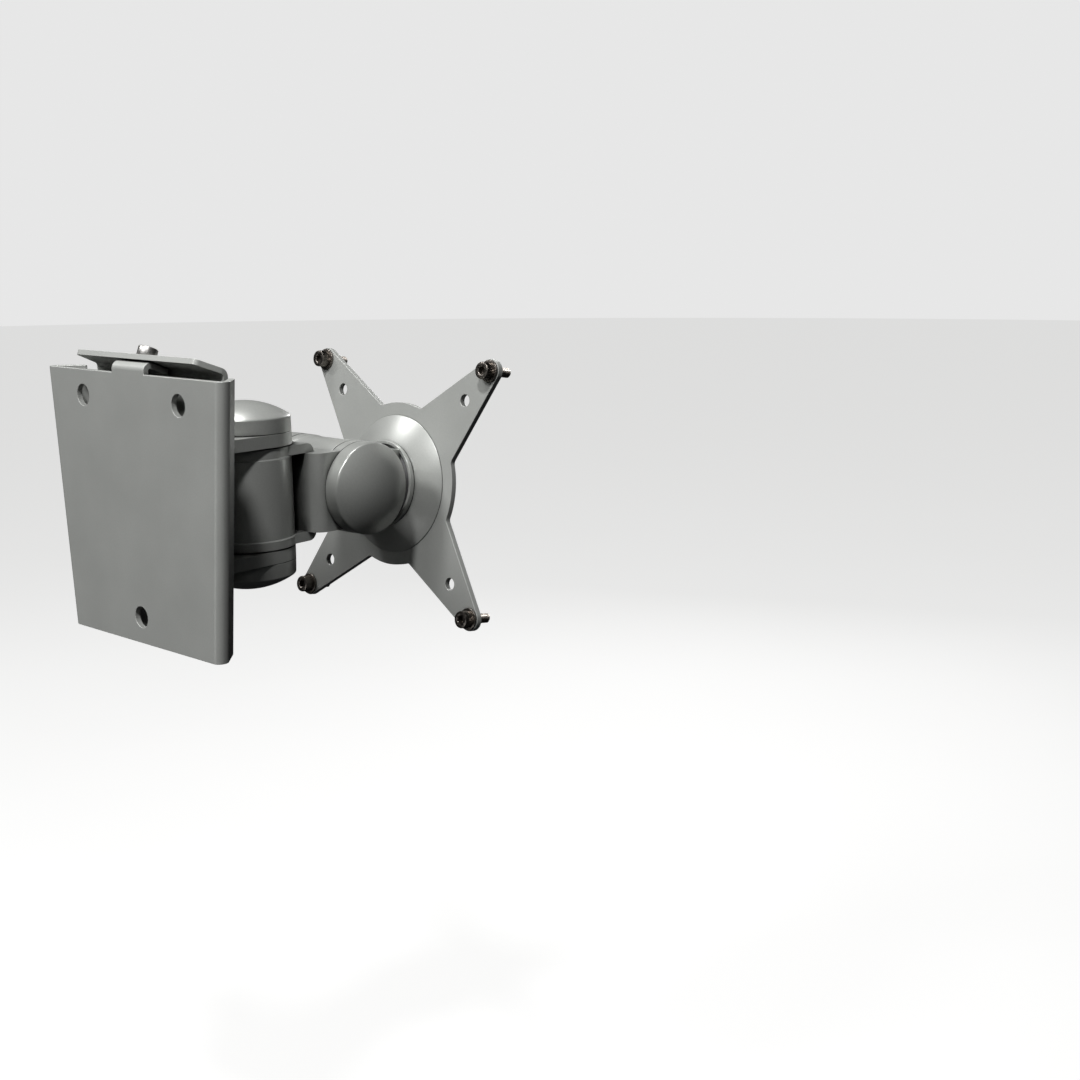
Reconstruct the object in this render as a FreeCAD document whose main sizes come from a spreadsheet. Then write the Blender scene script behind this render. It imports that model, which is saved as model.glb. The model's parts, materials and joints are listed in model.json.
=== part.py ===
"""Short wall-mounted monitor arm: a wall receiver, a slide-in yoke, a swivel link, a tilting
head and a turning VESA plate.

Frame, in millimetres: the origin is on the wall face, on the middle line, level with the tilt
axis. +Y points away from the wall towards the monitor, +Z up, +X to the right as seen by
somebody who stands at the wall and looks at the monitor's back.
"""
import FreeCAD, Part
import math
import os
import re
import Sketcher
from FreeCAD import Vector

# Driving dimensions, in millimetres and degrees.
DIMENSIONS = {
    # Wall receiver: a tapered channel of bent sheet.
    "receiver_top": (50.1, "height of the receiver's top edge"),
    "receiver_bottom": (49.1, "depth of the receiver's bottom edge below the origin"),
    "receiver_wide": (51.4, "half width of its flat at the top edge"),
    "receiver_narrow": (43.2, "half width of its flat at the bottom edge"),
    "receiver_sheet": (2.2, "sheet thickness of the receiver"),
    "receiver_bend": (3.0, "outer radius of the side bends"),
    "receiver_flange": (10.3, "flat length of the inward side flanges"),
    "flange_lean": (45.0, "lean of all side flanges to their webs"),
    "wall_hole_r": (4.0, "radius of the wall screw holes"),
    "wall_hole_half": (30.0, "half spacing of the two top wall holes"),
    "wall_hole_up": (40.6, "height of the top wall holes"),
    "wall_hole_down": (39.2, "depth of the bottom wall hole"),
    "tab_half": (10.0, "half width of the clamp tab"),
    "tab_rise": (1.1, "straight rise of the tab above the top edge"),
    "tab_flat": (7.2, "length of the tab's sloping flat"),
    "collar_r": (2.95, "outer radius of the tapped collar under the tab"),
    "collar_from": (1.5, "depth of the collar's root below the lip"),
    "collar_deep": (3.4, "length of the collar from its root"),
    "lip_slope": (21.6, "slope of the tab and of the lip"),
    # Slide plate: nests in the receiver.
    "slide_sheet": (2.0, "sheet thickness of the slide plate"),
    "slide_front": (14.5, "distance of its web's outer face from the wall"),
    "slide_wide": (39.6, "half width of its web's flat at the receiver's top edge"),
    "slide_low": (48.3, "depth of its bottom edge"),
    "slide_flange_top": (46.6, "height where its side flanges end"),
    "slide_flange": (8.6, "flat length of its side flanges"),
    "slide_bend": (3.0, "outer radius of its side bends"),
    "lip_bend": (1.5, "inner radius of the bend into the lip"),
    "lip_bend_up": (50.0, "height of the centre of that bend"),
    "lip_long": (10.1, "flat length of the lip"),
    "lip_front": (37.7, "half width of the lip's front edge"),
    "lip_corner": (2.5, "corner radius of the lip's front edge"),
    "lock_back": (4.6, "distance of the lock screw from the lip's bend, along the lip"),
    "lock_hole_r": (2.4, "radius of the lock screw's hole in the lip"),
    "lock_head_r": (3.6, "radius of the lock screw's head"),
    "lock_head": (4.0, "height of the lock screw's head"),
    "lock_long": (7.2, "length of the lock screw under its head"),
    # Swivel stack, on a vertical axis.
    "pivot_out": (49.2, "distance of the swivel axis from the wall"),
    "barrel_r": (18.4, "radius of both joint stacks"),
    "sleeve_half": (15.5, "half length of the swivel sleeve between its rings"),
    "sleeve_top_r": (18.1, "radius of the sleeve at its top"),
    "sleeve_low_r": (18.35, "radius of the sleeve at its bottom"),
    "ring_top_r": (17.75, "radius of the link's top ring"),
    "ring_low_r": (18.7, "radius of the link's bottom ring"),
    "ring_step": (0.5, "height of the sloping steps between the sleeve and its rings"),
    "ring_thick": (3.65, "thickness of the rings and webs of the link"),
    "stack_gap": (0.65, "gap between a ring and its ear"),
    "ear_thick": (4.9, "thickness of the swivel ears"),
    "ear_wall_half": (20.0, "half width of the yoke at the slide plate"),
    "yoke_back": (5.0, "thickness of the yoke's back wall"),
    "yoke_fillet": (5.0, "inner fillet radius of the yoke"),
    "yoke_screw_half": (13.0, "half spacing of the yoke screws"),
    "yoke_screw_r": (2.5, "radius of the yoke screws"),
    "yoke_head_r": (4.6, "radius of their heads"),
    "yoke_head": (2.7, "height of their heads"),
    "yoke_screw_deep": (4.4, "reach of the yoke screws into the yoke"),
    "cap_skirt": (6.0, "height of a swivel cap's skirt"),
    "cap_rise": (5.8, "rise of a cap's dome"),
    "cap_draft": (0.15, "draft of a cap's skirt"),
    "cap_wall": (1.8, "thickness of a cap's dome"),
    "cap_inner_r": (15.6, "inner radius of a cap"),
    "spigot_ring_r": (16.8, "outer radius of a cap's spigot"),
    "cap_spigot": (1.0, "depth of a cap's spigot in its ear"),
    "ear_seat": (1.2, "depth of the seat in an ear's outer face"),
    "swivel_bolt_r": (5.0, "radius of the swivel bolt"),
    "swivel_bore_r": (8.0, "bore radius of the swivel sleeve"),
    "swivel_across": (16.0, "width across the flats of the swivel bolt and nut"),
    "swivel_head": (6.0, "height of the swivel bolt's head"),
    "swivel_nut_high": (7.4, "height of the swivel nut"),
    "bolt_tip": (1.0, "length of a bolt's tip beyond its nut"),
    "washer_thick": (1.2, "thickness of a joint washer"),
    "swivel_washer_r": (11.0, "radius of the swivel washers"),
    "spring_thick": (0.8, "thickness of a disc spring"),
    "spring_rise": (0.4, "free rise of a disc spring"),
    "spring_edge": (1.2, "radial step from a washer's rim to a disc spring's rim"),
    "bush_long": (12.0, "length of a bush in its bore"),
    "bush_flange": (0.4, "thickness of a bush's flange"),
    "bush_flange_r": (13.0, "radius of a bush's flange"),
    # Link between the two stacks.
    "tilt_reach": (41.0, "distance from the swivel axis to the tilt axis"),
    "web_end": (23.3, "reach of the webs from the swivel axis"),
    "web_root": (15.8, "half width of a web at the swivel axis"),
    "web_half": (13.5, "half width of a web at its end"),
    "block_back": (18.7, "distance of the block's back face from the swivel axis"),
    "block_corner": (5.0, "plan radius of the block's back corners"),
    "pocket_r": (18.9, "radius of the pocket that clears the head's sleeve"),
    # Tilt stack, on a horizontal axis along X.
    "tilt_gap_at": (15.9, "distance of the inner faces of the tilt ears from the middle"),
    "tilt_ear": (4.3, "thickness of the tilt ears"),
    "tilt_skirt": (6.5, "height of a tilt cap's skirt"),
    "tilt_bolt_r": (4.0, "radius of the tilt bolt"),
    "tilt_bore_r": (6.5, "bore radius of the head's sleeve"),
    "tilt_across": (13.0, "width across the flats of the tilt bolt and nut"),
    "tilt_head": (5.3, "height of the tilt bolt's head"),
    "tilt_nut_high": (7.0, "height of the tilt nut"),
    "tilt_washer_r": (9.5, "radius of the tilt washers"),
    "head_ring_at": (11.3, "distance from the middle to the rings on the head's sleeve"),
    "head_step": (0.4, "step from the rings down to the sleeve"),
    # Head and hub, on an axis that leans with the plate.
    "tilt_rest": (8.0, "lean of the plate from the vertical"),
    "head_half": (9.5, "half width of the head's block"),
    "head_high": (15.0, "half height of the head's block"),
    "neck_back": (29.1, "distance of the neck ring's back face from the tilt axis"),
    "neck_front": (31.1, "distance of the neck ring's front face"),
    "neck_r": (17.9, "radius of the neck ring"),
    "neck_rim_r": (16.6, "inner radius of the neck ring's raised rim"),
    "neck_recess": (1.3, "depth of the recess inside that rim"),
    "spigot_r": (8.0, "radius of the spigot that the hub turns on"),
    "spigot_end": (33.6, "distance of the spigot's end face"),
    "turn_screw_r": (4.0, "radius of the rotation screw"),
    "turn_screw_deep": (17.0, "distance of the tapped hole's bottom from the tilt axis"),
    "turn_head_r": (7.5, "radius of the rotation screw's head"),
    "turn_head_high": (2.5, "height of the rotation screw's head"),
    "turn_washer_r": (10.5, "radius of the rotation washer"),
    "turn_across": (5.0, "width across the flats of its socket"),
    "turn_tip_room": (2.0, "room between its tip and the bottom of its hole"),
    "turn_bush_r": (9.5, "outer radius of the rotation bush"),
    "turn_flange_r": (15.0, "radius of the rotation bush's flange"),
    "cone_front": (31.6, "distance of the cone's front face"),
    "cone_floor": (34.0, "distance of the floor of its rear recess"),
    "cone_r": (28.9, "radius of the cone at the plate"),
    "cone_recess_r": (12.0, "radius of its rear recess"),
    "cone_boss_r": (16.0, "radius of the boss that centres the plate"),
    "plate_front": (36.7, "distance of the plate's front face from the tilt axis"),
    "plate_thick": (2.5, "thickness of the plate"),
    "plate_disc_r": (34.3, "radius of the plate's disc"),
    "arm_tip_r": (4.9, "radius of an arm's tip"),
    "arm_taper": (13.3, "angle of an arm's edges to its middle line"),
    "notch_r": (2.5, "radius between an arm and the disc"),
    "vesa_small": (75.0, "hole spacing of the smaller pattern"),
    "vesa_large": (100.0, "hole spacing of the larger pattern"),
    "vesa_hole_r": (2.5, "radius of the holes of the smaller pattern"),
    "vesa_bolt_r": (2.0, "radius of the monitor screws"),
    "hub_screw_at": (22.0, "distance of the hub screws from the hub axis"),
    "hub_screw_r": (1.5, "radius of the hub screws"),
    "hub_head_r": (2.9, "radius of their heads"),
    "hub_head": (1.6, "height of their heads"),
    "hub_socket_r": (1.05, "radius of their sockets"),
    "hub_screw_deep": (1.8, "reach of the hub screws into the cone"),
    "vesa_head_r": (3.5, "radius of the monitor screws' heads"),
    "vesa_head": (4.0, "height of the monitor screws' heads"),
    "vesa_washer_r": (4.5, "radius of the monitor screws' washers"),
    "vesa_washer": (0.8, "thickness of the monitor screws' washers"),
    "vesa_reach": (8.5, "reach of the monitor screws behind the plate"),
    "vesa_neck": (0.5, "reach of their plain neck behind the plate"),
    "vesa_neck_r": (1.5, "radius of that neck"),
    "socket_deep": (2.0, "depth of a hexagon socket"),
    "socket_across": (3.0, "width across the flats of the small screws' sockets"),
    # Clearances of the running fits.
    "run_fit": (0.05, "radial clearance of a running fit"),
    "press_fit": (0.02, "radial room left in a fixed fit"),
    "screw_room": (0.25, "radial room round a screw in a drilled hole"),
    # Cuts.
    "cut_through": (120.0, "length of a cut that goes right through a sub-part"),
}

document = FreeCAD.newDocument("monitor_arm")
sheet = document.addObject("Spreadsheet::Sheet", "dims")
for row, (alias, (size, note)) in enumerate(DIMENSIONS.items(), start=1):
    sheet.set(f"A{row}", note)
    sheet.set(f"B{row}", str(size))
    sheet.setAlias(f"B{row}", alias)
document.recompute()


# ---------------------------------------------------------------- drawing helpers

def bound(text):
    """The expression with each dimension's name pointed at its cell."""
    def cell(word):
        return "dims." + word[0] if word[0] in DIMENSIONS else word[0]
    return re.sub(r"[a-z_]\w*", cell, text)


def value(text):
    """The present number of an expression."""
    return float(sheet.evalExpression(bound(text)))


def origin_feature(body, role):
    """A body's own origin plane or axis, by its role."""
    return next(item for item in body.Origin.OriginFeatures if item.Role == role)


def minor_arc(start, end, radius, turn):
    """The arc of at most half a turn that bends left or right from start to end."""
    chord = end - start
    left = Vector(-chord.y, chord.x, 0).normalize()
    away = math.sqrt(max(radius ** 2 - (chord.Length / 2) ** 2, 0))
    centre = (start + end) / 2 + left * (away if turn == "left" else -away)
    if turn == "right":
        start, end = end, start
    first = math.atan2(start.y - centre.y, start.x - centre.x)
    last = math.atan2(end.y - centre.y, end.x - centre.x)
    if last < first:
        last += 2 * math.pi
    return Part.ArcOfCircle(Part.Circle(centre, Vector(0, 0, 1), radius), first, last)


def constrain(sketch, kind, *where, size=None):
    """Add one constraint, and drive it by an expression where it has a size."""
    if size is None:
        sketch.addConstraint(Sketcher.Constraint(kind, *where))
        return
    index = sketch.addConstraint(Sketcher.Constraint(kind, *where, value(size)))
    sketch.setExpression(f"Constraints[{index}]", bound(size))


def add_outline(sketch, corners):
    """A closed outline. A corner is (x, y), or (x, y, radius, turn) where an arc leaves it."""
    first = sketch.GeometryCount
    points = [Vector(value(corner[0]), value(corner[1]), 0) for corner in corners]
    heads = []
    for index, corner in enumerate(corners):
        here = points[index]
        there = points[(index + 1) % len(points)]
        if len(corner) == 4:
            edge = minor_arc(here, there, value(corner[2]), corner[3])
        else:
            edge = Part.LineSegment(here, there)
        sketch.addGeometry(edge, False)
        heads.append(2 if corner[-1] == "right" else 1)
    for index, corner in enumerate(corners):
        edge = first + index
        after = (index + 1) % len(corners)
        constrain(sketch, "Coincident", edge, 3 - heads[index], first + after, heads[after])
        constrain(sketch, "DistanceX", -1, 1, edge, heads[index], size=corner[0])
        constrain(sketch, "DistanceY", -1, 1, edge, heads[index], size=corner[1])
        if len(corner) == 4:
            constrain(sketch, "Radius", edge, size=corner[2])


def add_circle(sketch, x, y, radius):
    """A circle whose centre and radius are expressions."""
    centre = Vector(value(x), value(y), 0)
    edge = sketch.addGeometry(Part.Circle(centre, Vector(0, 0, 1), value(radius)), False)
    constrain(sketch, "DistanceX", -1, 1, edge, 3, size=x)
    constrain(sketch, "DistanceY", -1, 1, edge, 3, size=y)
    constrain(sketch, "Radius", edge, size=radius)


def draw(body, name, plane, outlines=(), circles=(), height="0"):
    """A sketch on one of the body's origin planes, lifted off it by height."""
    sketch = body.newObject("Sketcher::SketchObject", name)
    sketch.AttachmentSupport = [(origin_feature(body, plane), "")]
    sketch.MapMode = "FlatFace"
    sketch.setExpression("AttachmentOffset.Base.z", bound(height))
    for corners in outlines:
        add_outline(sketch, corners)
    for circle in circles:
        add_circle(sketch, *circle)
    return sketch


def mirrored(corners):
    """The outline's corners seen in a mirror on the vertical axis, in the same sense."""
    flipped = []
    for index, corner in enumerate(corners):
        before = corners[index - 1]
        flipped.append((f"-({corner[0]})", corner[1]) + tuple(before[2:]))
    return flipped[::-1]


# ---------------------------------------------------------------- feature helpers

def extrude(body, kind, sketch, length, both=False, reverse=False):
    """A Pad or a Pocket of the sketch, on one side of it or half to each side."""
    feature = body.newObject("PartDesign::" + kind, sketch.Name + "_" + kind.lower())
    feature.Profile = sketch
    feature.setExpression("Length", bound(length))
    if both:
        feature.SideType = "Symmetric"
    feature.Reversed = reverse
    sketch.Visibility = False
    return feature


def turn(body, kind, sketch, axis="V_Axis"):
    """A Revolution or a Groove of the sketch, all the way round one of its axes."""
    feature = body.newObject("PartDesign::" + kind, sketch.Name + "_" + kind.lower())
    feature.Profile = sketch
    feature.ReferenceAxis = (sketch, [axis])
    feature.Angle = 360
    return feature


def ruled_loft(body, name, sections):
    """Straight-sided loft between two sections."""
    loft = body.newObject("PartDesign::AdditiveLoft", name)
    loft.Profile = sections[0]
    loft.Sections = sections[1:]
    loft.Ruled = True
    return loft


def repeat(body, features, count=4):
    """The features repeated round the body's Z axis."""
    pattern = body.newObject("PartDesign::PolarPattern", body.Name + "_pattern")
    pattern.Originals = features
    pattern.Axis = (origin_feature(body, "Z_Axis"), [""])
    pattern.Angle = 360
    pattern.Occurrences = count
    body.Tip = pattern
    return pattern


def round_edges(body, feature, radius, wanted):
    """A fillet on the edges whose middles wanted() accepts."""
    document.recompute()
    names = []
    for number, edge in enumerate(feature.Shape.Edges, start=1):
        middle = edge.valueAt((edge.FirstParameter + edge.LastParameter) / 2)
        if wanted(edge, middle):
            names.append(f"Edge{number}")
    fillet = body.newObject("PartDesign::Fillet", feature.Name + "_round")
    fillet.Base = (feature, names)
    fillet.setExpression("Radius", bound(radius))
    return fillet


DIAGONAL = 45      # degrees from the plate's sides to its arms
ALONG = 0.99       # an edge counts as upright above this cosine
NEAR = 1.0         # a corner counts as on the disc's rim within this many millimetres

# Places and heights that follow from the driving dimensions.
TAPER = "(receiver_wide - receiver_narrow) / (receiver_top + receiver_bottom)"
LIP_OUT = "(slide_front - slide_sheet - lip_bend * (1 - sin(lip_slope)))"
LIP_UP = "(lip_bend_up + lip_bend * cos(lip_slope))"
RING_OUT = "(sleeve_half + ring_thick)"
EAR_IN = "(sleeve_half + ring_thick + stack_gap)"
EAR_OUT = "(sleeve_half + ring_thick + stack_gap + ear_thick)"
SWIVEL_SEAT = f"({EAR_OUT} - ear_seat)"
HEAD_RING_OUT = "(tilt_gap_at - stack_gap)"
TILT_OUT = "(tilt_gap_at + tilt_ear)"
TILT_SEAT = f"({TILT_OUT} - ear_seat)"
SPRINGS = "(spring_rise + 2 * spring_thick + press_fit)"
PLATE_BACK = "(plate_front + plate_thick)"
YOKE_WALL = "(pivot_out - slide_front)"

# A frame is where a sub-part's own origin lies (Y, Z) and how it is turned.
TILT_AT = "pivot_out + tilt_reach"
FRAMES = {
    "wall": ("0", "0", Vector(0, 0, 1), "0"),
    "yoke_screws": ("slide_front - slide_sheet", "0", Vector(-1, 0, 0), "90"),
    "lock": (f"{LIP_OUT} - lock_back * cos(lip_slope) + slide_sheet * sin(lip_slope)",
             f"{LIP_UP} + lock_back * sin(lip_slope) + slide_sheet * cos(lip_slope)",
             Vector(-1, 0, 0), "lip_slope"),
    "swivel": ("pivot_out", "0", Vector(0, 0, 1), "0"),
    "swivel_under": ("pivot_out", "0", Vector(0, 1, 0), "180"),
    "tilt": (TILT_AT, "0", Vector(0, 1, 0), "90"),
    "tilt_left": (TILT_AT, "0", Vector(0, -1, 0), "90"),
    "hub": (TILT_AT, "0", Vector(-1, 0, 0), "90 + tilt_rest"),
}
SUBPARTS = []


def new_body(name, frame):
    """A body that is one sub-part, placed by its frame."""
    body = document.addObject("PartDesign::Body", name)
    body.Label = name
    body.AllowCompound = True
    out, up, axis, angle = FRAMES[frame]
    body.Placement = FreeCAD.Placement(Vector(), FreeCAD.Rotation(axis, value(angle)))
    body.setExpression("Placement.Base.y", bound(out))
    body.setExpression("Placement.Base.z", bound(up))
    body.setExpression("Placement.Rotation.Angle", bound(angle))
    SUBPARTS.append(body)
    return body


def turned(name, frame, *outlines):
    """A sub-part turned about its frame's Z axis from outlines of (radius, height)."""
    body = new_body(name, frame)
    turn(body, "Revolution", draw(body, name + "_profile", "XZ_Plane", outlines))
    return body


def on_lip(sketch, drop):
    """Move a flat sketch to the lip's slope, drop below the lip's lower face."""
    tilt = FreeCAD.Rotation(Vector(-1, 0, 0), value("lip_slope"))
    sketch.AttachmentOffset = FreeCAD.Placement(Vector(), tilt)
    sketch.setExpression("AttachmentOffset.Rotation.Angle", bound("lip_slope"))
    sketch.setExpression("AttachmentOffset.Base.y", bound(f"{LIP_OUT} - {drop} * sin(lip_slope)"))
    sketch.setExpression("AttachmentOffset.Base.z", bound(f"{LIP_UP} - {drop} * cos(lip_slope)"))
    return sketch


def hexagon(across):
    """The corners of a hexagon of that width across its flats."""
    return [(f"{across} / sqrt(3) * cos({60 * k})", f"{across} / sqrt(3) * sin({60 * k})")
            for k in range(6)]


# ---------------------------------------------------------------- wall receiver

def tapered_channel(body, front, sheet, side, low, high):
    """Flat tapered web whose front is that far out, with a bent side along each edge.

    low and high are each a height and the web's half width there."""
    name = body.Name
    web = [(f"-{low[1]}", low[0]), (low[1], low[0]), (high[1], high[0]), (f"-{high[1]}", high[0])]
    extrude(body, "Pad", draw(body, name + "_web", "XZ_Plane", [web], height=f"-{front}"), sheet)
    for hand, turned_over in (("right", False), ("left", True)):
        sections = []
        for level, (height, half) in (("low", low), ("high", high)):
            corners = mirrored(side(half)) if turned_over else side(half)
            sections.append(draw(body, f"{name}_{hand}_{level}", "XY_Plane", [corners],
                                 height=height))
        ruled_loft(body, f"{name}_{hand}", sections)


def receiver_side(half):
    """One side of the receiver's section: wall flat, 135 degree bend, flange and back."""
    inner = "(receiver_bend - receiver_sheet)"
    back, out = "receiver_flange * cos(flange_lean)", "receiver_flange * sin(flange_lean)"
    outer_x = f"{half} + receiver_bend * sin(flange_lean)"
    outer_y = "receiver_bend * (1 + cos(flange_lean))"
    inner_x = f"{half} + {inner} * sin(flange_lean)"
    inner_y = f"receiver_bend + {inner} * cos(flange_lean)"
    return [
        (half, "0", "receiver_bend", "left"),
        (outer_x, outer_y),
        (f"{outer_x} - {back}", f"{outer_y} + {out}"),
        (f"{inner_x} - {back}", f"{inner_y} + {out}"),
        (inner_x, inner_y, inner, "right"),
        (half, "receiver_sheet"),
    ]


def make_wall_receiver():
    """Tapered channel with its flanges bent inward, and a clamp tab curled over the top."""
    body = new_body("wall_receiver", "wall")
    tapered_channel(body, "receiver_sheet", "receiver_sheet", receiver_side,
                    ("-receiver_bottom", "receiver_narrow"), ("receiver_top", "receiver_wide"))

    inner = "(receiver_bend - receiver_sheet)"
    bend_up = "(receiver_top + tab_rise)"
    run, fall = "tab_flat * cos(lip_slope)", "tab_flat * sin(lip_slope)"
    under_y = f"receiver_bend + {inner} * sin(lip_slope)"
    under_z = f"{bend_up} + {inner} * cos(lip_slope)"
    over_y = "receiver_bend * (1 + sin(lip_slope))"
    over_z = f"{bend_up} + receiver_bend * cos(lip_slope)"
    tab = [
        ("0", "receiver_top - receiver_sheet"),
        ("receiver_sheet", "receiver_top - receiver_sheet"),
        ("receiver_sheet", bend_up, inner, "right"),
        (under_y, under_z),
        (f"{under_y} + {run}", f"{under_z} - {fall}"),
        (f"{over_y} + {run}", f"{over_z} - {fall}"),
        (over_y, over_z, "receiver_bend", "left"),
        ("0", bend_up),
    ]
    extrude(body, "Pad", draw(body, "clamp_tab", "YZ_Plane", [tab]), "2 * tab_half", both=True)
    collar = draw(body, "collar", "XY_Plane", circles=[("0", "-lock_back", "collar_r")])
    extrude(body, "Pad", on_lip(collar, "collar_from"), "collar_deep", reverse=True)
    tapped = draw(body, "tapped_hole", "XY_Plane",
                  circles=[("0", "-lock_back", "vesa_bolt_r + run_fit")])
    extrude(body, "Pocket", on_lip(tapped, "collar_from"), "2 * (collar_from + collar_deep)",
            both=True)
    holes = draw(body, "wall_holes", "XZ_Plane", circles=[
        ("-wall_hole_half", "wall_hole_up", "wall_hole_r"),
        ("wall_hole_half", "wall_hole_up", "wall_hole_r"),
        ("0", "-wall_hole_down", "wall_hole_r")])
    extrude(body, "Pocket", holes, "cut_through", both=True)


# ---------------------------------------------------------------- slide plate

def slide_side(half):
    """One side of the slide plate's section: web, 45 degree bend, flange and back."""
    centre_y = "(slide_front - slide_bend)"
    inner = "(slide_bend - slide_sheet)"
    out, back = "slide_flange * cos(flange_lean)", "slide_flange * sin(flange_lean)"
    outer_x = f"{half} + slide_bend * sin(flange_lean)"
    outer_y = f"{centre_y} + slide_bend * cos(flange_lean)"
    inner_x = f"{half} + {inner} * sin(flange_lean)"
    inner_y = f"{centre_y} + {inner} * cos(flange_lean)"
    return [
        (half, "slide_front", "slide_bend", "right"),
        (outer_x, outer_y),
        (f"{outer_x} + {out}", f"{outer_y} - {back}"),
        (f"{inner_x} + {out}", f"{inner_y} - {back}"),
        (inner_x, inner_y, inner, "left"),
        (half, "slide_front - slide_sheet"),
    ]


def slide_half(height):
    """Half width of the slide plate's web at a height."""
    return f"(slide_wide - {TAPER} * (receiver_top - ({height})))"


def make_slide_plate():
    """Tapered web with flanges that nest in the receiver, and a lip bent over the tab."""
    body = new_body("slide_plate", "wall")
    tapered_channel(body, "slide_front", "slide_sheet", slide_side,
                    ("-slide_low", slide_half("-slide_low")),
                    ("slide_flange_top", slide_half("slide_flange_top")))
    base, half = slide_half("slide_flange_top"), slide_half("lip_bend_up")
    neck = [(f"-{base}", "slide_flange_top"), (base, "slide_flange_top"),
            (half, "lip_bend_up"), (f"-{half}", "lip_bend_up")]
    extrude(body, "Pad", draw(body, "web_top", "XZ_Plane", [neck], height="-slide_front"),
            "slide_sheet")

    centre = "(slide_front - slide_sheet - lip_bend)"
    outer = "(lip_bend + slide_sheet)"
    bend = [
        (f"{centre} + lip_bend", "lip_bend_up"),
        ("slide_front", "lip_bend_up", outer, "left"),
        (f"{centre} + {outer} * sin(lip_slope)", f"lip_bend_up + {outer} * cos(lip_slope)"),
        (LIP_OUT, LIP_UP, "lip_bend", "right"),
    ]
    extrude(body, "Pad", draw(body, "lip_bend_profile", "YZ_Plane", [bend]), f"2 * {half}",
            both=True)
    side = [
        (half, "0"),
        ("lip_front", "-lip_long + lip_corner", "lip_corner", "right"),
        ("lip_front - lip_corner", "-lip_long"),
    ]
    lip = draw(body, "lip", "XY_Plane", [side + mirrored(side)],
               circles=[("0", "-lock_back", "lock_hole_r")])
    extrude(body, "Pad", on_lip(lip, "0"), "slide_sheet")
    holes = draw(body, "yoke_holes", "XZ_Plane", height="-slide_front", circles=[
        (f"{x} * yoke_screw_half", f"{y} * yoke_screw_half", "yoke_screw_r + screw_room")
        for x in (-1, 1) for y in (-1, 1)])
    extrude(body, "Pocket", holes, "2 * slide_sheet", both=True)


def make_lock_screw():
    """Socket screw that draws the lip down on the tab."""
    body = new_body("lock_screw", "lock")
    shank = draw(body, "lock_shank", "XY_Plane", circles=[("0", "0", "vesa_bolt_r")])
    extrude(body, "Pad", shank, "lock_long", reverse=True)
    head = draw(body, "lock_cap", "XY_Plane", circles=[("0", "0", "lock_head_r")])
    extrude(body, "Pad", head, "lock_head")
    socket = draw(body, "lock_socket", "XY_Plane", [hexagon("socket_across")],
                  height="lock_head")
    extrude(body, "Pocket", socket, "socket_deep")


# ---------------------------------------------------------------- swivel stack

def make_base_yoke():
    """Casting with a back wall and two round-ended ears."""
    body = new_body("base_yoke", "swivel")
    plan = [("-ear_wall_half", f"-{YOKE_WALL}"), ("ear_wall_half", f"-{YOKE_WALL}"),
            ("barrel_r", "0", "barrel_r", "left"), ("0", "barrel_r", "barrel_r", "left"),
            ("-barrel_r", "0")]
    extrude(body, "Pad", draw(body, "yoke_plan", "XY_Plane", [plan]), f"2 * {EAR_OUT}", both=True)
    back = f"-{YOKE_WALL} + yoke_back"
    gap = [
        (f"{back} + yoke_fillet", f"-{EAR_IN}"),
        ("barrel_r + yoke_back", f"-{EAR_IN}"),
        ("barrel_r + yoke_back", EAR_IN),
        (f"{back} + yoke_fillet", EAR_IN, "yoke_fillet", "left"),
        (back, f"{EAR_IN} - yoke_fillet"),
        (back, f"-{EAR_IN} + yoke_fillet", "yoke_fillet", "left"),
    ]
    extrude(body, "Pocket", draw(body, "yoke_gap", "YZ_Plane", [gap]), "cut_through", both=True)
    for side, height, reverse in (("top", EAR_OUT, False), ("low", f"-{EAR_OUT}", True)):
        seat = draw(body, side + "_ear_seat", "XY_Plane", height=height,
                    circles=[("0", "0", "spigot_ring_r + press_fit")])
        extrude(body, "Pocket", seat, "ear_seat", reverse=reverse)
    hole = draw(body, "yoke_bolt_hole", "XY_Plane",
                circles=[("0", "0", "swivel_bolt_r + press_fit")])
    extrude(body, "Pocket", hole, "cut_through", both=True)
    screws = draw(body, "yoke_tapped", "XZ_Plane", height=YOKE_WALL, circles=[
        (f"{x} * yoke_screw_half", f"{y} * yoke_screw_half", "yoke_screw_r + press_fit")
        for x in (-1, 1) for y in (-1, 1)])
    extrude(body, "Pocket", screws, "yoke_screw_deep + screw_room")


def make_yoke_screws():
    """Four screws from the wall side through the slide plate into the yoke."""
    body = new_body("yoke_screws", "yoke_screws")
    at = ("yoke_screw_half", "yoke_screw_half")
    shank = draw(body, "yoke_shank", "XY_Plane", circles=[at + ("yoke_screw_r",)])
    head = draw(body, "yoke_head_disc", "XY_Plane", circles=[at + ("yoke_head_r",)])
    socket = draw(body, "yoke_socket", "XY_Plane", height="-yoke_head",
                  circles=[at + ("yoke_screw_r / 2",)])
    repeat(body, [
        extrude(body, "Pad", shank, "slide_sheet + yoke_screw_deep"),
        extrude(body, "Pad", head, "yoke_head", reverse=True),
        extrude(body, "Pocket", socket, "yoke_head / 2", reverse=True)])


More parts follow.
